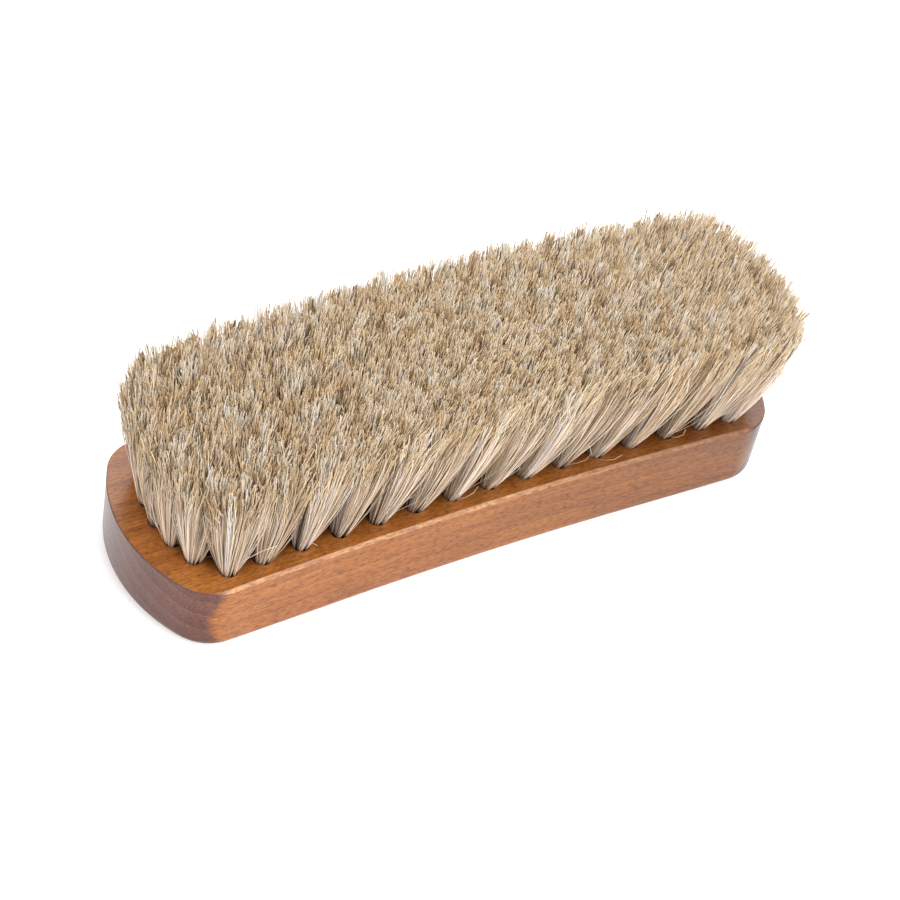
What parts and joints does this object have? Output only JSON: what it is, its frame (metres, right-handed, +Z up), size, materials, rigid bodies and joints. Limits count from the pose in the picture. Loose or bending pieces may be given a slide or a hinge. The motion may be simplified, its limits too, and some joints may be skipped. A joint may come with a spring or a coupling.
{
  "type": "shoe shine brush",
  "caption": "Long waisted hardwood block with rows of trimmed hair tufts set in drilled holes, for polishing shoes by hand; it rests on its flat back.",
  "frame": {"origin": "under the middle of the block, on the flat of its back that rests on the table", "axes": "+X along the brush, +Y across it, +Z up from the back of the block to the hair tips"},
  "size_m": [0.1834, 0.054, 0.053],
  "materials": {
    "wood": "stained beech under a glossy clear lacquer",
    "hair": "natural light horsehair, blonde to grey-brown with some dark hairs",
    "wire": "flat anchor wire, dull"
  },
  "bodies": {
    "root": {"wood_block": "wood", "tufts_row_1_left": "hair", "tufts_row_1_right": "hair", "tufts_row_2_left": "hair", "tufts_row_2_right": "hair", "tufts_row_3_left": "hair", "tufts_row_3_right": "hair", "tufts_row_4_left": "hair", "tufts_row_4_right": "hair", "tufts_row_5_left": "hair", "tufts_row_5_right": "hair", "tufts_row_6_left": "hair", "tufts_row_6_right": "hair", "tufts_row_7_left": "hair", "tufts_row_7_right": "hair", "anchors_row_1_left": "wire", "anchors_row_1_right": "wire", "anchors_row_2_left": "wire", "anchors_row_2_right": "wire", "anchors_row_3_left": "wire", "anchors_row_3_right": "wire", "anchors_row_4_left": "wire", "anchors_row_4_right": "wire", "anchors_row_5_left": "wire", "anchors_row_5_right": "wire", "anchors_row_6_left": "wire", "anchors_row_6_right": "wire", "anchors_row_7_left": "wire", "anchors_row_7_right": "wire"}
  },
  "joints": []
}
